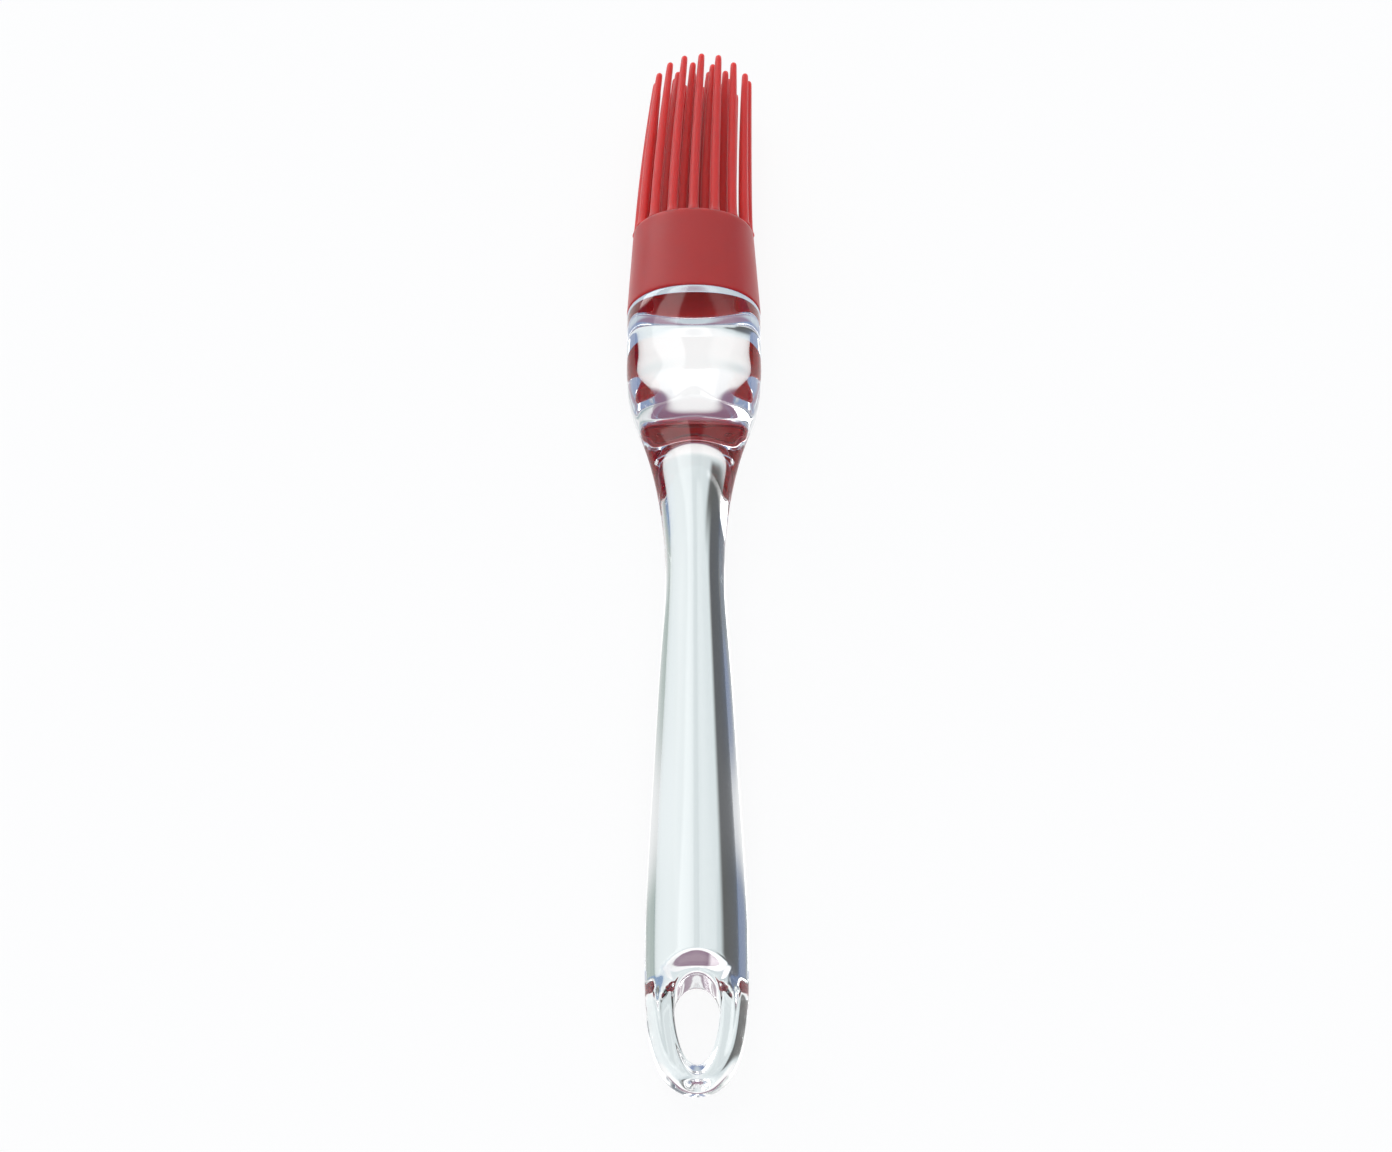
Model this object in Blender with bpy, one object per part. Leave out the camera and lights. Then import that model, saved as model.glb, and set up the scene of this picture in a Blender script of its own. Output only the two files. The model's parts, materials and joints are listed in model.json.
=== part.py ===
"""Pastry brush: a clear acrylic handle with a push-on red silicone head.

The brush is drawn along its own axis. Y = 0 is the shoulder where the head seats, the bristles are
at +Y and the hanging end is at -Y. X is the width and Z the thickness. An empty then lays the brush
on its back, so that the collar and the bulb of the grip both touch the table at Z = 0.
"""

import math

import bmesh
import bpy
import numpy as np
from mathutils import Vector

# Driving dimensions, in millimetres
MM = 0.001
FIT_GAP = 0.3
SHARP_DEGREES = 35.0

# Handle: where along the axis, half width, half thickness, power of the section (2 is an ellipse,
# more is squarer)
SHOULDER = (0.0, 13.55, 10.45, 2.1)
FERRULE_UPPER = (-9.0, 13.5, 9.35, 3.1)
FERRULE_LOWER = (-18.0, 13.4, 8.75, 2.4)
FLARE_TOP = (-24.5, 12.45, 7.7, 3.0)
FLARE_MIDDLE = (-30.0, 10.9, 5.75, 2.4)
FLARE_END = (-34.0, 9.75, 4.85, 2.0)
NECK_TOP = (-38.0, 8.7, 4.6, 2.0)
NECK_START = (-46.0, 7.15, 4.5, 2.0)
NECK = (-60.0, 5.82, 4.6, 2.0)
GRIP_START = (-80.0, 6.5, 5.0, 2.0)
GRIP_MIDDLE = (-108.0, 7.9, 5.8, 2.0)
GRIP_END = (-132.0, 9.05, 6.5, 2.0)
BULB = (-147.0, 9.4, 6.6, 2.0)
END_START = (-158.0, 8.9, 6.3, 2.0)
STATIONS = (
    SHOULDER, FERRULE_UPPER, FERRULE_LOWER, FLARE_TOP, FLARE_MIDDLE, FLARE_END, NECK_TOP,
    NECK_START, NECK, GRIP_START, GRIP_MIDDLE, GRIP_END, BULB, END_START,
)
HANDLE_END = -174.8
END_WIDTH_POWER = 2.3
END_THICKNESS_POWER = 3.0
HANDLE_SIDES = 36
RING_SPACING = 4.2
END_RINGS = 7
END_LEFT_OPEN = 0.4

# Tongue that the head is pushed onto
TONGUE_LENGTH = 14.4
TONGUE_ROOT = (9.6, 6.1)
TONGUE_TIP = (9.2, 5.7)
TONGUE_EDGE = 1.2

# Hanging hole: an egg, blunt towards the head, in a tab that is flat on both faces
HOLE_WIDEST_AT = -158.5
HOLE_HALF_WIDTH = 4.05
HOLE_BLUNT_LENGTH = 5.8
HOLE_LONG_LENGTH = 12.4
HOLE_ROUNDING = 0.8
TAB_HALF_THICKNESS = 3.3
DISH_HALF_WIDTH = 6.9
DISH_BLUNT_LENGTH = 6.9
DISH_LONG_LENGTH = 18.0
DISH_WALL_SLOPE = 1.8
CUTTER_REACH = 9.0
EGG_SIDES = 40

# Silicone head
COLLAR_TOP = 21.5
COLLAR_FOOT_HALF = (13.6, 10.5)
COLLAR_TOP_HALF = (12.4, 9.2)
COLLAR_EDGE = 1.0
SOCKET_DEPTH = 15.2
BACKING_THICKNESS = 2.0
HEAD_SIDES = 40

# Bristles: round fingers on oval rings, each ring a count, a half width, a half thickness and by how
# much of a step it is turned
BRISTLE_RINGS = ((16, 11.3, 7.7, 0.0), (9, 6.9, 4.3, 0.5), (4, 2.6, 1.6, 0.5))
BRISTLE_TIPS_AT = 66.3
BRISTLE_BASE_RADIUS = 1.06
BRISTLE_TIP_RADIUS = 0.72
BRISTLE_ROOT_DEPTH = 1.0
BRISTLE_SIDES = 8
BRISTLE_STEPS = 5
TUFT_DRAWN_IN = 0.875
TUFT_LEAN = 2.05
LEAN_POWER = 1.4
TUFT_DOME = 2.3


def clear_scene():
    for obj in list(bpy.data.objects):
        bpy.data.objects.remove(obj, do_unlink=True)


def plastic(name, colour, roughness, transmission, ior):
    """A Principled material for a moulded polymer."""
    material = bpy.data.materials.new(name)
    material.use_nodes = True
    shader = material.node_tree.nodes["Principled BSDF"]
    shader.inputs["Base Color"].default_value = (*colour, 1.0)
    shader.inputs["Roughness"].default_value = roughness
    shader.inputs["Metallic"].default_value = 0.0
    shader.inputs["Transmission Weight"].default_value = transmission
    shader.inputs["IOR"].default_value = ior
    return material


def empty(name, parent=None):
    obj = bpy.data.objects.new(name, None)
    obj.parent = parent
    bpy.context.scene.collection.objects.link(obj)
    return obj


def object_from(name, bm, material, parent):
    """A smooth-shaded object from a bmesh drawn in millimetres."""
    bmesh.ops.scale(bm, vec=(MM, MM, MM), verts=bm.verts)
    bmesh.ops.recalc_face_normals(bm, faces=bm.faces)
    mesh = bpy.data.meshes.new(name)
    bm.to_mesh(mesh)
    bm.free()
    mesh.shade_smooth()
    mesh.set_sharp_from_angle(angle=math.radians(SHARP_DEGREES))
    mesh.materials.append(material)
    obj = bpy.data.objects.new(name, mesh)
    obj.parent = parent
    bpy.context.scene.collection.objects.link(obj)
    return obj


def boolean(obj, cutter, operation):
    """Cuts or joins another object, which then stays as a hidden helper."""
    modifier = obj.modifiers.new(cutter.name, "BOOLEAN")
    modifier.operation = operation
    modifier.solver = "EXACT"
    modifier.object = cutter
    cutter.hide_render = True
    cutter.display_type = "WIRE"


def oval(half_width, half_thickness, y, sides, power=2.0):
    """The points of one section, square to the brush's axis: an ellipse, or squarer with more power."""
    points = []
    for k in range(sides):
        turn = 2 * math.pi * (k + 0.5) / sides
        across, up = math.cos(turn), math.sin(turn)
        full = (abs(across) ** power + abs(up) ** power) ** (-1 / power)
        points.append((half_width * full * across, y, half_thickness * full * up))
    return points


def loft(bm, rings):
    """Bridges rings of equal count one after the other and closes both ends."""
    made = [[bm.verts.new(point) for point in ring] for ring in rings]
    sides = len(made[0])
    for near, far in zip(made, made[1:]):
        for k in range(sides):
            after = (k + 1) % sides
            bm.faces.new((near[k], near[after], far[after], far[k]))
    bm.faces.new(list(reversed(made[0])))
    bm.faces.new(made[-1])


def along_stations(y, column):
    """Half width (column 1), half thickness (2) or power (3) on a smooth curve through the stations."""
    places = np.array([station[0] for station in STATIONS])[::-1]
    values = np.array([station[column] for station in STATIONS])[::-1]
    slopes = np.gradient(values, places)
    k = int(np.clip(np.searchsorted(places, y) - 1, 0, len(places) - 2))
    step = places[k + 1] - places[k]
    t = (y - places[k]) / step
    return (
        values[k] * (1 + 2 * t) * (1 - t) ** 2
        + slopes[k] * step * t * (1 - t) ** 2
        + values[k + 1] * t * t * (3 - 2 * t)
        + slopes[k + 1] * step * t * t * (t - 1)
    )


def tongue_rings():
    """From the tip, whose edge is chamfered, to the root at the shoulder."""
    tip_width, tip_thickness = TONGUE_TIP
    root_width, root_thickness = TONGUE_ROOT
    edge = TONGUE_EDGE
    return [
        oval(tip_width - edge, tip_thickness - edge, TONGUE_LENGTH, HANDLE_SIDES),
        oval(tip_width, tip_thickness, TONGUE_LENGTH - edge, HANDLE_SIDES),
        oval(root_width, root_thickness, SHOULDER[0], HANDLE_SIDES),
    ]


def body_rings():
    """From the shoulder along the ferrule, flare and grip to the start of the round end."""
    count = round((SHOULDER[0] - END_START[0]) / RING_SPACING)
    rings = []
    for y in np.linspace(SHOULDER[0], END_START[0], count + 1):
        half_width, half_thickness, power = (along_stations(y, column) for column in (1, 2, 3))
        rings.append(oval(half_width, half_thickness, y, HANDLE_SIDES, power))
    return rings


def end_rings():
    """The round end: both half sizes fall to nothing on superellipse curves."""
    start, half_width, half_thickness, power = END_START
    rings = []
    for k in range(1, END_RINGS + 1):
        u = math.sin(0.5 * math.pi * k / (END_RINGS + END_LEFT_OPEN))
        width = half_width * (1 - u**END_WIDTH_POWER) ** (1 / END_WIDTH_POWER)
        thickness = half_thickness * (1 - u**END_THICKNESS_POWER) ** (1 / END_THICKNESS_POWER)
        rings.append(oval(width, thickness, start + u * (HANDLE_END - start), HANDLE_SIDES, power))
    return rings


def egg(half_width, blunt, long, z):
    """An egg-shaped loop round the hanging hole, blunt end towards the head."""
    loop = []
    for k in range(EGG_SIDES):
        angle = 2 * math.pi * k / EGG_SIDES
        reach = blunt if math.sin(angle) > 0 else long
        loop.append((half_width * math.cos(angle), HOLE_WIDEST_AT + reach * math.sin(angle), z))
    return loop


def hole_egg(grow, z):
    return egg(HOLE_HALF_WIDTH + grow, HOLE_BLUNT_LENGTH + grow, HOLE_LONG_LENGTH + grow, z)


def dish_egg(grow, z):
    return egg(DISH_HALF_WIDTH + grow, DISH_BLUNT_LENGTH + grow, DISH_LONG_LENGTH + grow, z)


def hang_cutter_rings():
    """A spool through the end of the grip: two dishes with flat floors, and the hole between them."""
    upper = [
        dish_egg((CUTTER_REACH - TAB_HALF_THICKNESS) / DISH_WALL_SLOPE, CUTTER_REACH),
        dish_egg(0.0, TAB_HALF_THICKNESS),
    ]
    for degrees in (0, 30, 60, 90):
        turn = math.radians(degrees)
        grow = HOLE_ROUNDING * (1 - math.sin(turn))
        upper.append(hole_egg(grow, TAB_HALF_THICKNESS - HOLE_ROUNDING * (1 - math.cos(turn))))
    lower = [[(x, y, -z) for x, y, z in ring] for ring in reversed(upper)]
    return upper + lower


def make_handle(material, parent):
    bm = bmesh.new()
    loft(bm, tongue_rings() + body_rings() + end_rings())
    handle = object_from("handle", bm, material, parent)
    bm = bmesh.new()
    loft(bm, hang_cutter_rings())
    cutter = object_from("hang_hole_cutter", bm, material, parent)
    boolean(handle, cutter, "DIFFERENCE")
    return handle


def collar_half(y, column):
    """Half width (0) or half thickness (1) of the tapering silicone collar."""
    share = y / COLLAR_TOP
    return COLLAR_FOOT_HALF[column] + share * (COLLAR_TOP_HALF[column] - COLLAR_FOOT_HALF[column])


def collar_oval(y, inset=0.0):
    return oval(collar_half(y, 0) - inset, collar_half(y, 1) - inset, y, HEAD_SIDES)


def make_head_sleeve(material, parent):
    """The collar with its socket: up the outside, over the top, and the socket cut from below."""
    foot = SHOULDER[0] + FIT_GAP
    top = COLLAR_TOP - BACKING_THICKNESS - FIT_GAP
    bm = bmesh.new()
    loft(bm, [collar_oval(foot), collar_oval(top / 2), collar_oval(top)])
    sleeve = object_from("head_sleeve", bm, material, parent)
    bm = bmesh.new()
    below = foot - FIT_GAP
    mouth = [half + FIT_GAP for half in TONGUE_ROOT]
    end = [half + FIT_GAP for half in TONGUE_TIP]
    loft(bm, [oval(*mouth, below, HEAD_SIDES), oval(*end, SOCKET_DEPTH, HEAD_SIDES)])
    socket = object_from("socket_cutter", bm, material, parent)
    boolean(sleeve, socket, "DIFFERENCE")
    return sleeve


def bristle_places():
    """(x, z) of each finger on the backing: spread evenly round oval rings."""
    places = []
    for count, half_width, half_thickness, turned in BRISTLE_RINGS:
        for k in range(count):
            turn = 2 * math.pi * (k + turned) / count
            places.append((half_width * math.sin(turn), half_thickness * math.cos(turn)))
    return places


def bristle_rings(x, z):
    """One tapering finger that leans with the tuft, shorter towards its sides, with a round tip."""
    root = COLLAR_TOP - BRISTLE_ROOT_DEPTH
    length = BRISTLE_TIPS_AT - TUFT_DOME * (x / BRISTLE_RINGS[0][1]) ** 2 - root
    straight = 1 - BRISTLE_TIP_RADIUS / length
    shares = [straight * k / BRISTLE_STEPS for k in range(BRISTLE_STEPS + 1)]
    sizes = [BRISTLE_BASE_RADIUS + s * (BRISTLE_TIP_RADIUS - BRISTLE_BASE_RADIUS) for s in shares]
    shares.append(1.0)
    sizes.append(0.5 * BRISTLE_TIP_RADIUS)
    rings = []
    for share, radius in zip(shares, sizes):
        drawn = 1 + share * (TUFT_DRAWN_IN - 1)
        centre_x = x * drawn + TUFT_LEAN * share**LEAN_POWER
        ring = oval(radius, radius, root + share * length, BRISTLE_SIDES)
        rings.append([(px + centre_x, py, pz + z * drawn) for px, py, pz in ring])
    return rings


def make_bristle_tuft(material, parent):
    """A slice of the collar's top with every finger fused to it."""
    low = COLLAR_TOP - BACKING_THICKNESS
    bm = bmesh.new()
    rings = [collar_oval(low), collar_oval(COLLAR_TOP - COLLAR_EDGE)]
    for degrees in (30, 60, 90):
        turn = math.radians(degrees)
        y = COLLAR_TOP - COLLAR_EDGE * (1 - math.sin(turn))
        rings.append(collar_oval(y, COLLAR_EDGE * (1 - math.cos(turn))))
    loft(bm, rings)
    tuft = object_from("bristle_tuft", bm, material, parent)
    bm = bmesh.new()
    for x, z in bristle_places():
        loft(bm, bristle_rings(x, z))
    fingers = object_from("bristle_fingers", bm, material, parent)
    boolean(tuft, fingers, "UNION")
    return tuft


def world_points(objects):
    """Every corner of the finished pieces, in the world frame."""
    bpy.context.view_layer.update()
    graph = bpy.context.evaluated_depsgraph_get()
    points = []
    for obj in objects:
        done = obj.evaluated_get(graph)
        points += [done.matrix_world @ vertex.co for vertex in done.to_mesh().vertices]
        done.to_mesh_clear()
    return np.array(points)


def lay_on_table(rest, pieces):
    """Tips the brush until collar and bulb both touch, then centres its box over the origin."""
    drop = COLLAR_FOOT_HALF[1] - BULB[2]
    rest.rotation_euler.x = math.asin(drop / -BULB[0])
    points = world_points(pieces)
    middle = 0.5 * (points.min(axis=0) + points.max(axis=0))
    rest.location = Vector((-middle[0], -middle[1], -points[:, 2].min()))
    points = world_points(pieces)
    print("lowest", points.min(axis=0), "highest", points.max(axis=0))
    print("tilt in degrees", math.degrees(rest.rotation_euler.x), "axis place", rest.location)


def main():
    clear_scene()
    acrylic = plastic("clear_acrylic", (0.93, 0.95, 0.96), roughness=0.04, transmission=1.0, ior=1.49)
    silicone = plastic("red_silicone", (0.52, 0.032, 0.030), roughness=0.45, transmission=0.0, ior=1.41)
    rest = empty("rest_pose")
    head = empty("head_seat", rest)
    handle = make_handle(acrylic, rest)
    sleeve = make_head_sleeve(silicone, head)
    tuft = make_bristle_tuft(silicone, head)
    lay_on_table(rest, (handle, sleeve, tuft))


main()
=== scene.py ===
# %% [markdown]
# # A clear-handled silicone pastry brush
# The real brush is two mouldings. The handle is polished clear acrylic: a wide oval ferrule, a slim
# waist, a swelling grip and a flattened tab with a hole to hang it by. The head is red silicone: a
# collar that is pushed over a tongue of the handle, and about thirty soft round bristles.
#
# The imported model gives the frame: its bodies, its joint and its box never change here. This file
# dresses them, so it starts by loading the frame.

# %% Load the frame
import json
import math
import random

import bmesh
import bpy
import numpy as np
from mathutils import Matrix, Vector


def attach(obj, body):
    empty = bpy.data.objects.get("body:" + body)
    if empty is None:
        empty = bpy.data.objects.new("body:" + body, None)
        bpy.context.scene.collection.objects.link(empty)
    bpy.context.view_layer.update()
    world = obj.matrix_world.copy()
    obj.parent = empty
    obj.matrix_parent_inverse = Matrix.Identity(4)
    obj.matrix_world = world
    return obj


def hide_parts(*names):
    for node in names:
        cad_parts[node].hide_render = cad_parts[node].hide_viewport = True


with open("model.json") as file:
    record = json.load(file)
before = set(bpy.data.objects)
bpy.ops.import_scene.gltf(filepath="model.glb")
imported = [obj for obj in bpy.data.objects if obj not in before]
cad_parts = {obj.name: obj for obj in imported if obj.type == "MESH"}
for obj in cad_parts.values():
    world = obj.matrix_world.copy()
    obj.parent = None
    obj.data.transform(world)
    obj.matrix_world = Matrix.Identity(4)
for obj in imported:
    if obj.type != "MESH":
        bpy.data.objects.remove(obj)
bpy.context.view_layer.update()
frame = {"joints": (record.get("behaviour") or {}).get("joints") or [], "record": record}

# %% [markdown]
# ## The brush's own axes
# The brush lies on its back, tipped a little because its collar is thicker than its grip. It is
# easier to draw it straight: in millimetres, with Y = 0 at the shoulder where the head sits, the
# bristles at +Y and Z out of the face that the camera sees. One matrix then lays it down. Its tilt
# is the head joint's axis, and its place is a mount whose spot on the tab is known.

# %% Where the brush lies
MM = 0.001
HOLE_WIDEST_AT = -158.5
TAB_HALF_THICKNESS = 3.3
TAB_MOUNT = Vector((5.9, HOLE_WIDEST_AT, TAB_HALF_THICKNESS))

tilt = Matrix.Rotation(math.asin(frame["joints"][0]["axis"][2]), 4, "X")
tab_place = Vector(frame["record"]["mounts"][0]["pos_m"])
lay_down = Matrix.Translation(tab_place - tilt @ (TAB_MOUNT * MM)) @ tilt @ Matrix.Scale(MM, 4)
print("shoulder at", [round(v, 5) for v in lay_down.translation])

# %% [markdown]
# ## Camera
# The photograph looks along the brush from its handle end, from above. The collar's rim shows as
# an arch half as tall as it is wide, which puts the camera 55 degrees above the brush. The grip's
# end looks larger than it is, so the camera is near: about 0.7 m. The focal length follows from
# the size of the brush in the picture, and a very small roll sets the handle as upright as it is there.

# %% Camera
# The picture's width and the focal length are in pixels, the other lengths in millimetres
PICTURE_WIDTH = 1392
SENSOR_WIDTH = 36.0
AIM = Vector((0.2, -64.3, 0.0))
CAMERA_ELEVATION = math.radians(55.0)
CAMERA_DISTANCE = 700.0
CAMERA_ROLL = math.radians(-0.27)
FOCAL_PIXELS = 3632.0

toward_camera = Vector((0.0, -math.cos(CAMERA_ELEVATION), math.sin(CAMERA_ELEVATION)))
camera_data = bpy.data.cameras.new("camera")
camera_data.sensor_width = SENSOR_WIDTH
camera_data.lens = FOCAL_PIXELS * SENSOR_WIDTH / PICTURE_WIDTH
camera = bpy.data.objects.new("camera", camera_data)
eye = lay_down @ (AIM + toward_camera * CAMERA_DISTANCE)
camera.location = eye
look = (lay_down @ AIM - eye).to_track_quat("-Z", "Y").to_matrix()
camera.rotation_euler = (look @ Matrix.Rotation(CAMERA_ROLL, 3, "Z")).to_euler()
bpy.context.scene.collection.objects.link(camera)
bpy.context.scene.camera = camera
print("lens", round(camera_data.lens, 1), "mm at", [round(v, 3) for v in eye])

# %% [markdown]
# ## Small helpers
# A piece is drawn as a bmesh in millimetres. One function turns it into an object: it lays the mesh
# down, shades it smooth and adds a Subdivision Surface, which rounds every edge the way a moulded
# part is rounded. Lofting is the other tool used everywhere: rings of equal count, bridged in order.

# %% Helpers for meshes
def piece(name, bm, material, levels):
    """A smooth, subdivided object from a bmesh drawn in the brush's own millimetres."""
    bmesh.ops.recalc_face_normals(bm, faces=bm.faces)
    bmesh.ops.transform(bm, matrix=lay_down, verts=bm.verts)
    mesh = bpy.data.meshes.new(name)
    bm.to_mesh(mesh)
    bm.free()
    mesh.shade_smooth()
    mesh.materials.append(material)
    obj = bpy.data.objects.new(name, mesh)
    bpy.context.scene.collection.objects.link(obj)
    smooth = obj.modifiers.new("Subdivision", "SUBSURF")
    smooth.levels = smooth.render_levels = levels
    return obj


def bridge(bm, near, far):
    """Quads between two closed loops of vertices of equal count."""
    for k in range(len(near)):
        after = (k + 1) % len(near)
        bm.faces.new((near[k], near[after], far[after], far[k]))


def oval(half_width, half_thickness, y, sides, power=2.0):
    """The points of one section, square to the brush's axis: an ellipse, or squarer with more power."""
    points = []
    for k in range(sides):
        turn = 2 * math.pi * k / sides
        across, up = math.cos(turn), math.sin(turn)
        full = (abs(across) ** power + abs(up) ** power) ** (-1 / power)
        points.append((half_width * full * across, y, half_thickness * full * up))
    return points


# %% [markdown]
# ## Materials
# Colours are written as sRGB hex, the way they are read off a screen, and one function makes them
# linear for the shader. One more function adds a node: its settings by name, and its inputs as
# numbers or as the sockets that they are linked to.

# %% Helpers for materials
def colour(hex_code):
    """An sRGB hex value as linear RGBA."""
    channels = [int(hex_code[k : k + 2], 16) / 255 for k in (1, 3, 5)]
    linear = [c / 12.92 if c <= 0.04045 else ((c + 0.055) / 1.055) ** 2.4 for c in channels]
    return (*linear, 1.0)


def add(tree, kind, inputs=None, **settings):
    """Adds one node, with its settings, and with its inputs set or linked."""
    made = tree.nodes.new(kind)
    for name, value in settings.items():
        setattr(made, name, value)
    for name, value in (inputs or {}).items():
        if isinstance(value, bpy.types.NodeSocket):
            tree.links.new(value, made.inputs[name])
        else:
            made.inputs[name].default_value = value
    return made


def new_material(name):
    """An empty node material and its tree."""
    material = bpy.data.materials.new(name)
    material.use_nodes = True
    material.node_tree.nodes.clear()
    return material, material.node_tree


# %% [markdown]
# ### Polished clear acrylic
# The handle is injection-moulded acrylic. It is as clear as glass, but light: it bends light a little
# less than window glass does, at an IOR of 1.49. A Glass node would do. Principled is used because an
# exported model keeps it. The long mould leaves the surface very slightly wavy, and use leaves it
# with faint hairline rubbing, which shows as a change of gloss and not as a colour.

# %% Polished clear acrylic
ACRYLIC_IOR = 1.49
MOULD_WAVE = 16.0
WAVE_HEIGHT = 0.004
RUB_SPACING = 1.2
# Rubbing runs along the handle, so its pattern is stretched that way
RUB_STRETCH = 0.08
RUBBED_FROM = 0.45
RUBBED_TO = 0.75
RUBBED_ROUGHNESS = 0.05
# Per metre of acrylic
TINT_DENSITY = 2.0


def make_acrylic():
    """Moulded and polished acrylic: clear all through, with a faint cool tint where it is thick."""
    material, tree = new_material("polished_clear_acrylic")
    place = add(tree, "ShaderNodeTexCoord").outputs["Object"]
    wave = add(tree, "ShaderNodeTexNoise", {"Vector": place, "Scale": 1 / (MOULD_WAVE * MM), "Detail": 0.0})
    bump = add(tree, "ShaderNodeBump", {
        "Height": wave.outputs["Fac"],
        "Distance": WAVE_HEIGHT * MM,
        "Strength": 1.0,
    })
    along = add(tree, "ShaderNodeMapping", {"Vector": place, "Scale": (1.0, RUB_STRETCH, 1.0)})
    rubbed = add(tree, "ShaderNodeTexNoise", {
        "Vector": along.outputs["Vector"],
        "Scale": 1 / (RUB_SPACING * MM),
        "Detail": 3.0,
    })
    gloss = add(tree, "ShaderNodeMapRange", {
        "Value": rubbed.outputs["Fac"],
        "From Min": RUBBED_FROM,
        "From Max": RUBBED_TO,
        "To Min": 0.0,
        "To Max": RUBBED_ROUGHNESS,
    })
    shader = add(tree, "ShaderNodeBsdfPrincipled", {
        "Base Color": colour("#ffffff"),
        "Roughness": gloss.outputs["Result"],
        "IOR": ACRYLIC_IOR,
        "Transmission Weight": 1.0,
        "Normal": bump.outputs["Normal"],
    })
    tint = add(tree, "ShaderNodeVolumeAbsorption", {"Color": colour("#e2f2f6"), "Density": TINT_DENSITY})
    add(tree, "ShaderNodeOutputMaterial", {
        "Surface": shader.outputs["BSDF"],
        "Volume": tint.outputs["Volume"],
    })
    return material


acrylic = make_acrylic()
print("made", acrylic.name)

# %% [markdown]
# ### Satin red silicone
# The head is moulded silicone rubber, pigmented red all through. The mould was blasted, so the skin is
# satin: its highlights are broad and soft. Silicone also holds dust and flour, which shows as a pale
# bloom at grazing angles. Plain diffuse colour would do for a hard plastic, but light goes some way
# into silicone, so it is subsurface, with a sheen for the bloom, uneven roughness and a fine grain.
# Inside the socket the silicone is pressed against the acrylic. There it gets a lighter copy of the red:
# painted light, standing in for the light that reaches it through the clear handle.
# The bristles get a lighter copy too: painted light, for the light that comes through them from all sides.
# How much lighter each copy is was set one by one.

# %% Satin red silicone
SILICONE_IOR = 1.41
BLOOM_SIZE = 9.0
GRAIN_SIZE = 0.45
GRAIN_HEIGHT = 0.012
LIGHT_REACH = 8.0
# Red light goes furthest into the red rubber: the share of that reach for red, green and blue
REACH_BY_COLOUR = (1.0, 0.2, 0.15)
SATIN_ROUGHNESS = (0.4, 0.52)
BLOOM_WEIGHT = 0.5
BLOOM_ROUGHNESS = 0.4


def make_silicone(name, darker, lighter):
    """Moulded silicone rubber: red all through, satin, with a fine grain and a faint dusty bloom."""
    material, tree = new_material(name)
    place = add(tree, "ShaderNodeTexCoord").outputs["Object"]
    bloom = add(tree, "ShaderNodeTexNoise", {
        "Vector": place,
        "Scale": 1 / (BLOOM_SIZE * MM),
        "Detail": 4.0,
    })
    # The real grain is near 0.1 mm, too fine for the picture, so it is drawn coarser
    grain = add(tree, "ShaderNodeTexNoise", {
        "Vector": place,
        "Scale": 1 / (GRAIN_SIZE * MM),
        "Detail": 2.0,
    })
    # A colour Mix has its factor at input 0, its colours at 6 and 7, and its result at output 2
    pigment = add(tree, "ShaderNodeMix", {
        0: bloom.outputs["Fac"],
        6: colour(darker),
        7: colour(lighter),
    }, data_type="RGBA")
    satin = add(tree, "ShaderNodeMapRange", {
        "Value": bloom.outputs["Fac"],
        "From Min": 0.3,
        "From Max": 0.7,
        "To Min": SATIN_ROUGHNESS[0],
        "To Max": SATIN_ROUGHNESS[1],
    })
    bump = add(tree, "ShaderNodeBump", {
        "Height": grain.outputs["Fac"],
        "Distance": GRAIN_HEIGHT * MM,
        "Strength": 1.0,
    })
    shader = add(tree, "ShaderNodeBsdfPrincipled", {
        "Base Color": pigment.outputs[2],
        "Roughness": satin.outputs["Result"],
        "IOR": SILICONE_IOR,
        "Subsurface Weight": 1.0,
        "Subsurface Radius": REACH_BY_COLOUR,
        "Subsurface Scale": LIGHT_REACH * MM,
        "Sheen Weight": BLOOM_WEIGHT,
        "Sheen Roughness": BLOOM_ROUGHNESS,
        "Sheen Tint": colour("#ffd9d6"),
        "Normal": bump.outputs["Normal"],
    })
    add(tree, "ShaderNodeOutputMaterial", {"Surface": shader.outputs["BSDF"]})
    return material


silicone = make_silicone("satin_red_silicone", "#aa2422", "#b22b29")
# The socket's lighter copy of the red is painted light, for light reaching it through the acrylic
socket_silicone_painted_lighter = make_silicone("red_silicone_socket_painted_lighter", "#d82d28", "#de352f")
# The bristles' lighter copy of the red is painted light, for light coming through them from all sides
bristle_silicone_painted_lighter = make_silicone("satin_red_silicone_bristles_painted_lighter", "#ca2926", "#d1312d")
print("made", silicone.name, socket_silicone_painted_lighter.name, "and", bristle_silicone_painted_lighter.name)

# %% [markdown]
# ## Handle profile
# The handle's sections are ovals, squarer in the ferrule than in the grip. A few stations give the
# half width and half thickness, read from the outline in the photograph, and the power of the oval:
# 2 is an ellipse. The thickness and the power can't be read from an outline. They were set by what
# the clear plastic shows: a thick ferrule mirrors the red collar in bands, and a thin one doesn't.
# A cubic spline runs through the stations, because light that passes through shows every kink.

# %% Handle profile
# Place along the brush, half width, half thickness and power
STATIONS = np.array([
    (0.0, 13.55, 10.45, 2.1),
    (-9.0, 13.5, 9.35, 3.1),
    (-18.0, 13.4, 8.75, 2.4),
    (-24.5, 12.45, 7.7, 3.0),
    (-30.0, 10.9, 5.75, 2.4),
    (-34.0, 9.75, 4.85, 2.0),
    (-38.0, 8.7, 4.6, 2.0),
    (-46.0, 7.15, 4.5, 2.0),
    (-60.0, 5.82, 4.6, 2.0),
    (-80.0, 6.5, 5.0, 2.0),
    (-108.0, 7.9, 5.8, 2.0),
    (-132.0, 9.05, 6.5, 2.0),
    (-147.0, 9.4, 6.6, 2.0),
])[::-1]
BULB_AT = STATIONS[0, 0]
HANDLE_END = -174.8
END_WIDTH_POWER = 2.9
END_THICKNESS_POWER = 3.5


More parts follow.
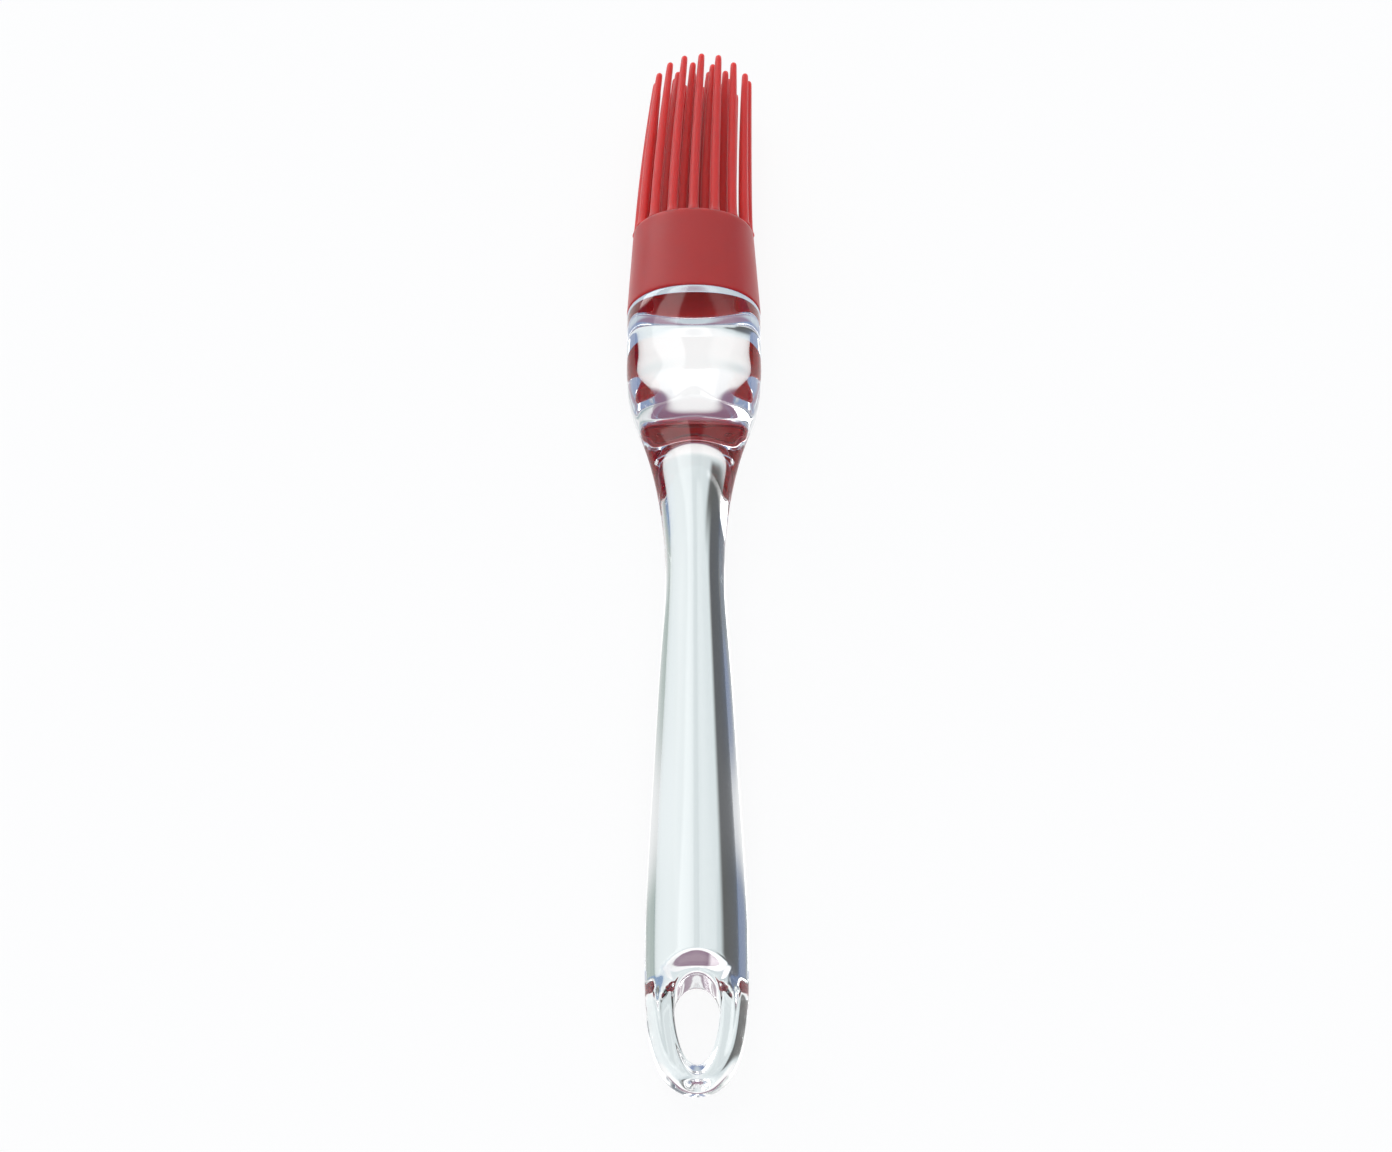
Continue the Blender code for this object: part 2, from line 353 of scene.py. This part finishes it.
def spline(column):
    """A cubic spline through one column of the stations, level at the bulb."""
    x, y = STATIONS[:, 0], STATIONS[:, column]
    step = np.diff(x)
    rise = np.diff(y) / step
    matrix = np.diag(np.r_[2.0, 2 * (step[:-1] + step[1:]), 1.0])
    matrix[0, 1] = 1.0
    for k in range(1, len(x) - 1):
        matrix[k, k - 1 : k + 2 : 2] = step[k - 1], step[k]
    bend = np.linalg.solve(matrix, np.r_[6 * rise[0] / step[0], 6 * np.diff(rise), 0.0])

    def at(place):
        k = int(np.clip(np.searchsorted(x, place) - 1, 0, len(x) - 2))
        a = (x[k + 1] - place) / step[k]
        b = 1 - a
        curve = ((a**3 - a) * bend[k] + (b**3 - b) * bend[k + 1]) * step[k] ** 2 / 6
        return a * y[k] + b * y[k + 1] + curve

    return at


spline_width, spline_thickness, spline_power = spline(1), spline(2), spline(3)


def section(y):
    """Half width, half thickness and power at y. Past the bulb the sizes close on superellipses."""
    if y >= BULB_AT:
        return spline_width(y), spline_thickness(y), spline_power(y)
    bulb, width, thickness, power = STATIONS[0]
    u = min((bulb - y) / (bulb - HANDLE_END), 1.0)
    width *= (1 - u**END_WIDTH_POWER) ** (1 / END_WIDTH_POWER)
    thickness *= (1 - u**END_THICKNESS_POWER) ** (1 / END_THICKNESS_POWER)
    return width, thickness, power


for part, place in (("ferrule", -9.0), ("waist", -60.0), ("bulb", BULB_AT)):
    print(part, "at", place, "is", [round(2 * size, 1) for size in section(place)[:2]], "mm")

# %% [markdown]
# ## Hanging tab
# At its end the grip is flattened on both faces into a tab, and an egg-shaped hole goes through it.
# The flat ends in a steep curved wall towards the grip. A Boolean could cut both, but it leaves long
# thin faces, and clear plastic shows them. So the faces of the handle's own grid are pressed down to
# the flat, with a fillet at the foot of the wall and a small rounding at its edge.

# %% Height of the tab's faces
# An egg is its half width, its blunt length towards the head and its long length towards the end
HOLE = (4.05, 5.8, 12.4)
DISH = (6.9, 6.9, 18.0)
WALL_SLOPE = 1.8
WALL_FILLET = 0.3
EDGE_BLEND = 0.45


def egg_point(shape, grow, angle):
    """A point of an egg round the hole: half width, blunt length to the head, long length to the end."""
    width, blunt, long = (size + grow for size in shape)
    reach = blunt if math.sin(angle) > 0 else long
    return width * math.cos(angle), HOLE_WIDEST_AT + reach * math.sin(angle)


def egg_angle(shape, x, y):
    """The angle on that egg that faces a point."""
    width, blunt, long = shape
    dy = y - HOLE_WIDEST_AT
    return math.atan2(dy / (blunt if dy > 0 else long), x / width)


def face_height(x, y):
    """Height of the handle's front face over (x, y): the oval section, pressed down on the tab."""
    width, thickness, power = section(y)
    body = thickness * max(1 - (abs(x) / width) ** power, 0.0) ** (1 / power)
    rim_x, rim_y = egg_point(DISH, 0.0, egg_angle(DISH, x, y))
    outside = math.hypot(x, y - HOLE_WIDEST_AT) - math.hypot(rim_x, rim_y - HOLE_WIDEST_AT)
    ramp = 0.5 * (outside + math.hypot(outside, WALL_FILLET)) - 0.25 * WALL_FILLET
    floor = TAB_HALF_THICKNESS + WALL_SLOPE * max(ramp, 0.0)
    near = max(EDGE_BLEND - abs(body - floor), 0.0) / EDGE_BLEND
    return min(body, floor) - near * near * EDGE_BLEND / 4


print("tab thickness", round(2 * face_height(TAB_MOUNT.x, HOLE_WIDEST_AT), 2), "mm")

# %% [markdown]
# ## Handle mesh
# The handle is one moulding, so it is one mesh, lofted from rings of 48 points. A turned profile
# would need round sections, and these are ovals that flatten. The rings run from the tip of the
# tongue, over the shoulder and down the grip to the round end. They are close together where the
# shape turns quickly, in the flare and on the tab, and further apart along the plain grip.

# %% Rings of the handle
COLUMNS = 48
TONGUE_LENGTH = 14.4
TONGUE_ROOT = (9.6, 6.1)
TONGUE_TIP = (9.2, 5.7)
TONGUE_EDGE = 0.35
TONGUE_SHARES = (0.1, 0.35, 0.65, 0.95)
# How far the loops on the flat of the tongue's tip lie inside its edge
TIP_INSETS = (5.0, 3.0)
SHOULDER_ROUNDING = 0.45
# How far the loops on the flat of the shoulder lie outside the tongue
SHOULDER_LOOPS = (0.15, 0.6, 1.8)
FLARE_STEP = 1.5
GRIP_FROM = -46.0
GRIP_STEP = 2.6
TAB_FROM = -143.0
TAB_STEP = 0.45
NOSE_LENGTH = 2.5
# How far the last rings are from the handle's end
NOSE_RINGS = (2.2, 1.5, 0.95, 0.5, 0.2, 0.05)


def tongue_rings():
    """The tongue, from the middle of its tip to its root on the shoulder."""
    width, thickness = TONGUE_TIP
    edge = TONGUE_EDGE
    insets = (*TIP_INSETS, 4 * edge)
    rings = [oval(width - inset, thickness - inset, TONGUE_LENGTH, COLUMNS) for inset in insets]
    rings.append(oval(width - edge, thickness - edge, TONGUE_LENGTH - edge, COLUMNS))
    for share in TONGUE_SHARES:
        y = TONGUE_LENGTH * (1 - share)
        sizes = [tip + share * (root - tip) for tip, root in zip(TONGUE_TIP, TONGUE_ROOT)]
        rings.append(oval(*sizes, y, COLUMNS))
    return rings


def shoulder_rings():
    """The flat shoulder, out from the tongue to its rounded rim."""
    width, thickness, power = section(0.0)
    root_width, root_thickness = TONGUE_ROOT
    r = SHOULDER_ROUNDING
    rings = []
    for out in SHOULDER_LOOPS:
        rings.append(oval(root_width + out, root_thickness + out, 0.0, COLUMNS))
    for cut, y in ((2 * r, 0.0), (r, 0.0), (0.1 * r, -0.35 * r)):
        rings.append(oval(width - cut, thickness - cut, y, COLUMNS, power))
    return rings


def body_places():
    """Where the rings of the ferrule and grip are, close together in the flare and on the tab."""
    first = [-1.2 * SHOULDER_ROUNDING, -2.4 * SHOULDER_ROUNDING]
    flare = np.arange(first[-1] - FLARE_STEP / 2, GRIP_FROM, -FLARE_STEP)
    grip = np.arange(flare[-1] - GRIP_STEP, TAB_FROM, -GRIP_STEP)
    tab = np.arange(grip[-1] - TAB_STEP, HANDLE_END + NOSE_LENGTH, -TAB_STEP)
    nose = [HANDLE_END + left for left in NOSE_RINGS]
    return [*first, *flare, *grip, *tab, *nose]


def body_ring(y):
    """One ring round the handle at y, with both faces pressed to the tab where it is flat."""
    width, thickness, power = section(y)
    ring = []
    for x, _, z in oval(width, thickness, y, COLUMNS, power):
        ring.append((x, y, math.copysign(min(abs(z), face_height(x, y)), z)))
    return ring


places = body_places()
print(len(places), "rings on the body")

# %% [markdown]
# ### Grid with an opening
# The rings are joined into a grid of quads. Where the hole goes through, a rectangle of the grid is
# left open on both faces, which keeps the quads even. A Boolean cutter would leave thin triangles.

# %% Grid of the handle
HOLE_FLAT = 1.0
# Columns are counted from the handle's right side: 0 to 24 cross its front, 24 to 48 its back
HOLE_COLUMNS = (7, 17)
RELAXED_COLUMNS = (3, 21)
# Rings above the hole that are relaxed with it, and rings at the very end that aren't
RELAXED_ABOVE = 18
KEPT_AT_END = 3


def handle_grid():
    """The handle's grid. Returns it with the edges of its open rectangles and the points to relax."""
    bm = bmesh.new()
    head_end = tongue_rings() + shoulder_rings()
    rings = head_end + [body_ring(y) for y in places]
    grid = [[bm.verts.new(point) for point in ring] for ring in rings]
    top = egg_point(HOLE, HOLE_FLAT, math.pi / 2)[1]
    bottom = egg_point(HOLE, HOLE_FLAT, -math.pi / 2)[1]
    first = len(head_end) + int(np.argmin([abs(y - top) for y in places]))
    last = len(head_end) + int(np.argmin([abs(y - bottom) for y in places]))
    left, right = HOLE_COLUMNS
    open_columns = {*range(left, right), *range(COLUMNS - right, COLUMNS - left)}
    for i in range(len(grid) - 1):
        for k in range(COLUMNS):
            if not (first <= i < last and k in open_columns):
                after = (k + 1) % COLUMNS
                bm.faces.new((grid[i][k], grid[i][after], grid[i + 1][after], grid[i + 1][k]))
    bm.faces.new(list(reversed(grid[0])))
    bm.faces.new(grid[-1])
    edge = [(first, k) for k in range(left, right)] + [(i, right) for i in range(first, last)]
    edge += [(last, k) for k in range(right, left, -1)] + [(i, left) for i in range(last, first, -1)]
    front = [grid[i][k] for i, k in edge]
    back = [grid[i][COLUMNS - k] for i, k in edge]
    half = COLUMNS // 2
    near_hole = range(first - RELAXED_ABOVE, len(grid) - KEPT_AT_END)
    on_a_face = [k for k in range(COLUMNS) if RELAXED_COLUMNS[0] <= k % half <= RELAXED_COLUMNS[1]]
    soft = [grid[i][k] for i in near_hole for k in on_a_face]
    return bm, front, back, soft


handle_mesh, front_edge, back_edge, soft_verts = handle_grid()
print("open edge of", len(front_edge), "points,", len(soft_verts), "points to relax")

# %% [markdown]
# ### Hole through the tab
# The edge of the open rectangle is moved onto an egg a little larger than the hole, and the grid
# round it is relaxed. Each point is then put back on its face's height, so the flat stays flat.
# Loops over a rounded rim and down the hole's wall join the two faces.

# %% Hole through the tab
HOLE_ROUNDING = 0.75
# The rounded rim and the wall, in roundings: how far outside the hole and how far below the face
RIM_STEPS = ((1.05, 0.0), (0.7, 0.04), (0.3, 0.28), (0.04, 0.72), (0.0, 1.3), (0.0, 2.6))
RELAX_ROUNDS = 40
RELAX_FACTOR = 0.5


def relax(bm, front, back, soft):
    """Moves the rectangle's edge onto an egg and evens out the grid round it, in plan only."""
    for vert in front + back:
        angle = egg_angle(HOLE, vert.co.x, vert.co.y)
        vert.co.x, vert.co.y = egg_point(HOLE, HOLE_FLAT, angle)
    fixed = set(front + back)
    free = [vert for vert in soft if vert not in fixed and vert.link_faces]
    plan = {"use_axis_x": True, "use_axis_y": True, "use_axis_z": False}
    for _ in range(RELAX_ROUNDS):
        bmesh.ops.smooth_vert(bm, verts=free, factor=RELAX_FACTOR, **plan)
    for vert in [*free, *fixed]:
        vert.co.z = math.copysign(face_height(vert.co.x, vert.co.y), vert.co.z)


def hole_wall(bm, front, back):
    """Loops from the front face, over the rounded rim, through the hole and out at the back."""
    angles = [egg_angle(HOLE, vert.co.x, vert.co.y) for vert in front]
    steps = []
    for grow, drop in RIM_STEPS:
        steps.append((grow * HOLE_ROUNDING, TAB_HALF_THICKNESS - drop * HOLE_ROUNDING))
    steps += [(0.0, 0.0)] + [(grow, -z) for grow, z in reversed(steps)]
    loops = [front]
    for grow, z in steps:
        loops.append([bm.verts.new((*egg_point(HOLE, grow, angle), z)) for angle in angles])
    loops.append(back)
    for near, far in zip(loops, loops[1:]):
        bridge(bm, near, far)


relax(handle_mesh, front_edge, back_edge, soft_verts)
hole_wall(handle_mesh, front_edge, back_edge)
loose = [vert for vert in handle_mesh.verts if not vert.link_faces]
bmesh.ops.delete(handle_mesh, geom=loose, context="VERTS")
handle = piece("acrylic_handle", handle_mesh, acrylic, levels=2)
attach(handle, "grip")
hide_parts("handle")
print("handle cage", len(handle.data.polygons), "faces")

# %% [markdown]
# ## Silicone collar
# The collar tapers from its foot on the shoulder to its top, where a small rounding leads onto the
# flat that the bristles stand on. The rubber is stretched over the tongue with no air between, and
# clear acrylic shows whether there is any. So the socket is drawn a hair smaller than the tongue,
# and its faces get a lighter copy of the silicone, painted light for the light that reaches them
# through the acrylic. A cylinder with a Solidify modifier could make the collar, but a loft gives
# its socket a shape of its own.

# %% Silicone collar
HEAD_COLUMNS = 48
COLLAR_FOOT_AT = 0.08
COLLAR_TOP = 21.5
COLLAR_FOOT_HALF = (13.62, 10.52)
COLLAR_TOP_HALF = (12.4, 9.2)
COLLAR_POWER = 2.1
COLLAR_ROUNDING = 1.0
COLLAR_SIDE_SHARES = (0.3, 0.55, 0.8)
# Rings at the foot: how far above it, and how far inside the collar's skin
FOOT_STEPS = ((0.0, 0.5), (0.06, 0.12), (0.35, 0.0), (1.2, 0.0))
# Rings on the flat top: how far inside the collar's skin, in roundings
TOP_INSETS = (0.9, 2.2, 4.5, 7.0)
SOCKET_DEPTH = 15.2
SOCKET_SQUEEZE = 0.04
# The socket's end is rounded by this much inwards and along, its mouth by this much along and outwards
SOCKET_END_ROUNDING = (0.6, 0.7)
MOUTH_ROUNDING = 0.5
MOUTH_LOOPS = (0.25, 1.2)


def collar_ring(y, inset=0.0):
    """One ring on the collar's tapering outside, or inset from it."""
    share = y / COLLAR_TOP
    sizes = []
    for foot, top in zip(COLLAR_FOOT_HALF, COLLAR_TOP_HALF):
        sizes.append(foot + share * (top - foot) - inset)
    return oval(*sizes, y, HEAD_COLUMNS, COLLAR_POWER)


def socket_rings():
    """From the middle of the socket's end to its mouth at the collar's foot."""
    end = [half - SOCKET_SQUEEZE for half in TONGUE_TIP]
    mouth = [half - SOCKET_SQUEEZE for half in TONGUE_ROOT]
    inwards, along = SOCKET_END_ROUNDING
    insets = (*TIP_INSETS, inwards)
    rings = [oval(end[0] - inset, end[1] - inset, SOCKET_DEPTH, HEAD_COLUMNS) for inset in insets]
    rings.append(oval(*end, SOCKET_DEPTH - along, HEAD_COLUMNS))
    rings.append(oval(*mouth, COLLAR_FOOT_AT + MOUTH_ROUNDING, HEAD_COLUMNS))
    for out in MOUTH_LOOPS:
        rings.append(oval(mouth[0] + out, mouth[1] + out, COLLAR_FOOT_AT, HEAD_COLUMNS))
    return rings


def collar_rings():
    """From the foot's edge, up the outside and in over the rounded top: (y, inset) of each ring."""
    foot, top, r = COLLAR_FOOT_AT, COLLAR_TOP, COLLAR_ROUNDING
    steps = [(foot + above, inset) for above, inset in FOOT_STEPS]
    steps += [(share * top, 0.0) for share in COLLAR_SIDE_SHARES]
    steps += [(top - 1.5 * r, 0.0), (top - 0.8 * r, 0.0), (top - 0.12 * r, 0.22 * r)]
    steps += [(top, inset * r) for inset in TOP_INSETS]
    return [collar_ring(y, inset) for y, inset in steps]


collar_mesh = bmesh.new()
collar_loops = []
socket = socket_rings()
for ring in socket + collar_rings():
    collar_loops.append([collar_mesh.verts.new(point) for point in ring])
for near, far in zip(collar_loops, collar_loops[1:]):
    bridge(collar_mesh, near, far)
collar_mesh.faces.new(list(reversed(collar_loops[0])))
collar_mesh.faces.new(collar_loops[-1])
collar = piece("silicone_collar", collar_mesh, silicone, levels=2)
# The socket's faces get the lighter copy of the silicone, painted light. They were bridged first, so they
# are the first in the mesh
collar.data.materials.append(socket_silicone_painted_lighter)
socket_faces = (len(socket) - 1) * HEAD_COLUMNS
for face in collar.data.polygons[:socket_faces]:
    face.material_index = 1
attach(collar, "brush_head")
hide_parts("head_sleeve")
print("collar cage", len(collar.data.polygons), "faces,", socket_faces, "of them in the socket")

# %% [markdown]
# ## Silicone bristles
# Each bristle is a round finger that tapers to a round tip, with a small flare where it grows out of
# the collar. They stand on three oval rings, the outer one at the collar's very edge. The photograph
# shows the tuft drawn together and leaning to one side, its middle longer than its sides, and each
# finger bending a little its own way, so each gets a small bend from a seeded draw. Bristles of hair
# would be a particle system, but thirty thick fingers are few enough to loft one by one.

# %% Silicone bristles
# Count, half width, half thickness, and by how much of a step the ring is turned
BRISTLE_RINGS = ((16, 11.3, 7.7, 0.0), (9, 6.9, 4.3, 0.5), (4, 2.6, 1.6, 0.5))
BRISTLE_TIPS_AT = 66.3
BRISTLE_BASE_RADIUS = 1.06
BRISTLE_TIP_RADIUS = 0.72
TAPER_POWER = 2.5
BRISTLE_SIDES = 10
# The round tip, in degrees from its equator
TIP_DEGREES = (10, 35, 60, 80)
ROOT_DEPTH = 0.6
ROOT_FLARE = 0.35
# How far above the collar's top, and how much of the flare is left there
FLARE_STEPS = ((0.0, 1.0), (0.5, 0.45), (1.6, 0.0))
STEM_SHARES = np.linspace(0.12, 0.96, 12)
TUFT_DRAWN_IN = 0.875
TUFT_LEAN = 2.05
LEAN_POWER = 1.4
TUFT_DOME = 2.3
OWN_BEND = 0.4
OWN_LENGTH = 0.25
BRISTLE_SEED = 7
draw = random.Random(BRISTLE_SEED)


def bristle_profile(length):
    """(share of the length, radius) from the root, with its flare, to the round tip."""
    steps = [(0.0, 1.0)] + [(ROOT_DEPTH + above, flare) for above, flare in FLARE_STEPS]
    steps += [(share * length, 0.0) for share in STEM_SHARES]
    profile = []
    for along, flare in steps:
        share = along / length
        radius = BRISTLE_BASE_RADIUS + share**TAPER_POWER * (BRISTLE_TIP_RADIUS - BRISTLE_BASE_RADIUS)
        profile.append((share, radius + flare * ROOT_FLARE))
    for degrees in TIP_DEGREES:
        turn = math.radians(degrees)
        share = 1 - BRISTLE_TIP_RADIUS * (1 - math.sin(turn)) / length
        profile.append((share, BRISTLE_TIP_RADIUS * math.cos(turn)))
    return profile


def add_bristle(bm, x, z):
    """One finger of the tuft, from inside the collar's top to its tip."""
    bend_x, bend_z = draw.uniform(-OWN_BEND, OWN_BEND), draw.uniform(-OWN_BEND, OWN_BEND)
    root = COLLAR_TOP - ROOT_DEPTH
    shorter = TUFT_DOME * (x / BRISTLE_RINGS[0][1]) ** 2 + draw.uniform(0.0, OWN_LENGTH)
    length = BRISTLE_TIPS_AT - shorter - root
    loops = []
    for share, radius in bristle_profile(length):
        drawn = 1 + share * (TUFT_DRAWN_IN - 1)
        centre_x = x * drawn + TUFT_LEAN * share**LEAN_POWER + bend_x * share**2
        centre_z = z * drawn + bend_z * share**2
        ring = oval(radius, radius, root + share * length, BRISTLE_SIDES)
        loops.append([bm.verts.new((px + centre_x, py, pz + centre_z)) for px, py, pz in ring])
    for near, far in zip(loops, loops[1:]):
        bridge(bm, near, far)
    bm.faces.new(list(reversed(loops[0])))
    bm.faces.new(loops[-1])


bristle_mesh = bmesh.new()
for count, half_width, half_thickness, turned in BRISTLE_RINGS:
    for k in range(count):
        turn = 2 * math.pi * (k + turned) / count
        add_bristle(bristle_mesh, half_width * math.sin(turn), half_thickness * math.cos(turn))
# The bristles get the lighter copy of the red silicone, painted light
bristles = piece("silicone_bristles", bristle_mesh, bristle_silicone_painted_lighter, levels=1)
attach(bristles, "brush_head")
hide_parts("bristle_tuft")
print(sum(ring[0] for ring in BRISTLE_RINGS), "bristles")

# %% [markdown]
# ## Floor
# The brush lies on a white floor that keeps its shadow. Plain white paper would do under an opaque
# object, but it renders grey in soft light, so most of what the camera sees of it glows, and so does
# all that a mirror reflection sees. Clear plastic shows what lies behind it, and on a studio table that
# is the lit sweep below and behind the object. So a ray that has passed through the plastic goes on
# through the floor, to the panels that stand for that sweep.

# %% Floor
# Metres, unlike the brush's own sizes
FLOOR_SIZE = 6.0
# How much of what the camera sees of the floor glows. The rest is paper, which takes the shadow
WHITE_SHARE = 0.9


def make_floor():
    """White studio paper: mostly glowing to the camera, all white to reflections, open to the acrylic."""
    material, tree = new_material("white_studio_paper")
    path = add(tree, "ShaderNodeLightPath")
    paper = add(tree, "ShaderNodeBsdfDiffuse", {"Color": colour("#f4f4f4")})
    lit = add(tree, "ShaderNodeEmission", {"Color": colour("#ffffff"), "Strength": 1.0})
    clear = add(tree, "ShaderNodeBsdfTransparent")
    to_camera = add(tree, "ShaderNodeMath", {
        0: path.outputs["Is Camera Ray"],
        1: WHITE_SHARE,
    }, operation="MULTIPLY")
    share = add(tree, "ShaderNodeMath", {
        0: path.outputs["Is Glossy Ray"],
        1: to_camera.outputs[0],
    }, operation="MAXIMUM")
    seen = add(tree, "ShaderNodeMixShader", {0: share.outputs[0], 1: paper.outputs[0], 2: lit.outputs[0]})
    mixed = add(tree, "ShaderNodeMixShader", {
        0: path.outputs["Is Transmission Ray"],
        1: seen.outputs[0],
        2: clear.outputs[0],
    })
    add(tree, "ShaderNodeOutputMaterial", {"Surface": mixed.outputs[0]})
    return material


floor_mesh = bmesh.new()
bmesh.ops.create_grid(floor_mesh, x_segments=1, y_segments=1, size=FLOOR_SIZE / 2)
floor_data = bpy.data.meshes.new("floor")
floor_mesh.to_mesh(floor_data)
floor_mesh.free()
floor_data.materials.append(make_floor())
floor = bpy.data.objects.new("floor", floor_data)
bpy.context.scene.collection.objects.link(floor)
print("floor", FLOOR_SIZE, "m")

# %% [markdown]
# ## Light
# A light tent: soft light from everywhere, from panels of different brightness. Area lamps could make
# it, but a clear handle shows its whole surroundings, so the world is painted instead. A panel is
# a colour and the edges of its patch of sky. An edge is a component of the direction, where the panel
# begins and where it is full: X is to the right, Y along the brush to its head, Z up. The photograph
# doesn't show the studio. The panels were chosen from what each part of the handle shows of it.

# %% Light tent
# Colour and strength of the tent itself
TENT = ("#f6f7f8", 0.9)
# Name, colour, strength and edges of each panel, which is painted over the ones before it
PANELS = (
    ("dim ceiling", "#8f9499", 1.0,
     (("X", -0.08, -0.05), ("X", 0.2, 0.1), ("Y", 0.0, 0.12), ("Z", 0.7, 0.76))),
    ("left softbox", "#ffffff", 2.6, (("X", -0.05, -0.09), ("Y", 0.0, 0.12), ("Z", 0.72, 0.78))),
    ("right softbox", "#ffffff", 1.3, (("X", 0.1, 0.2), ("Y", 0.0, 0.12), ("Z", 0.72, 0.78))),
    ("left wall", "#6a7683", 0.85, (("X", -0.15, -0.45), ("Y", 0.36, 0.42), ("Z", 0.79, 0.73))),
    ("left corner", "#7888a8", 0.85, (("X", -0.6, -0.68), ("Y", 0.36, 0.42))),
    ("left rear lamp", "#ffffff", 5.0, (("X", -0.3, -0.42), ("Y", 0.69, 0.75), ("Z", 0.0, 0.06))),
    ("right wall", "#aebcb8", 0.92, (("X", 0.42, 0.58), ("Y", 0.36, 0.42), ("Z", 0.79, 0.73))),
    ("right corner", "#8fa6c4", 0.95, (("X", 0.56, 0.64), ("Y", 0.5, 0.56))),
    ("behind the camera", "#93a2c4", 0.9, (("Y", 0.06, -0.1),)),
    ("front softbox", "#ffffff", 2.5,
     (("X", -0.3, -0.2), ("X", 0.3, 0.2), ("Y", -0.32, -0.42), ("Z", 0.3, 0.4))),
    ("side horizon", "#93a0b8", 0.9, (("Z", -0.25, -0.15), ("Z", 0.3, 0.2), ("Y", 0.42, 0.3))),
    ("sweep", "#f0f7f8", 1.0, (("Z", 0.0, -0.06), ("Y", -0.1, 0.35))),
    ("shaded sweep", "#d0dadc", 1.0,
     (("Z", 0.0, -0.06), ("X", 0.4, -0.3), ("Y", 0.75, 0.68), ("Y", 0.2, 0.35))),
    ("far sweep", "#ffffff", 1.0, (("Z", 0.0, -0.06), ("Y", 0.7, 0.75))),
    ("near sweep", "#c8d3da", 1.0, (("Z", 0.0, -0.06), ("Y", -0.2, -0.5))),
    ("low front", "#98788c", 1.0, (("Z", 0.0, -0.06), ("Y", -0.6, -0.66))),
    ("dark stand", "#5c5c5b", 1.0,
     (("Z", 0.0, -0.05), ("X", -0.29, -0.38), ("Y", 0.71, 0.64), ("Y", 0.2, 0.35))),
    ("dark stand's top", "#5c5c5b", 1.0,
     (("Z", 0.0, -0.05), ("X", -0.19, -0.26), ("Y", 0.7, 0.66), ("Y", 0.58, 0.63))),
    ("mauve horizon", "#8a6a80", 1.0,
     (("Z", -0.14, -0.22), ("Z", -0.5, -0.44), ("Y", 0.83, 0.88))),
)


def make_world():
    """The tent's own light, and each panel mixed over it inside its soft edges."""
    world = bpy.data.worlds.new("light_tent")
    bpy.context.scene.world = world
    world.use_nodes = True
    tree = world.node_tree
    tree.nodes.clear()
    place = add(tree, "ShaderNodeTexCoord")
    direction = add(tree, "ShaderNodeSeparateXYZ", {"Vector": place.outputs["Generated"]})
    tint, strength = TENT
    light = add(tree, "ShaderNodeBackground", {"Color": colour(tint), "Strength": strength})
    for name, tint, strength, edges in PANELS:
        panel = add(tree, "ShaderNodeBackground", {"Color": colour(tint), "Strength": strength}, label=name)
        inside = 1.0
        for component, begins, full in edges:
            edge = add(tree, "ShaderNodeMapRange", {
                "Value": direction.outputs[component],
                "From Min": begins,
                "From Max": full,
                "To Max": inside,
            }, interpolation_type="SMOOTHSTEP")
            inside = edge.outputs["Result"]
        light = add(tree, "ShaderNodeMixShader", {0: inside, 1: light.outputs[0], 2: panel.outputs[0]})
    add(tree, "ShaderNodeOutputWorld", {"Surface": light.outputs[0]})


make_world()
print(len(PANELS), "panels in the tent")

# %% [markdown]
# ## Rendering
# Light crosses the clear handle by bending and by mirroring inside it many times before it leaves. With
# Blender's usual limits such a path ends early and turns black, so the limits are raised. The Standard
# view leaves each colour as it was written.

# %% Rendering
CLEAR_BOUNCES = 32
MIRROR_BOUNCES = 24
scene = bpy.context.scene
scene.view_settings.view_transform = "Standard"
scene.cycles.max_bounces = CLEAR_BOUNCES
scene.cycles.transmission_bounces = CLEAR_BOUNCES
scene.cycles.glossy_bounces = MIRROR_BOUNCES
print("up to", CLEAR_BOUNCES, "bounces")
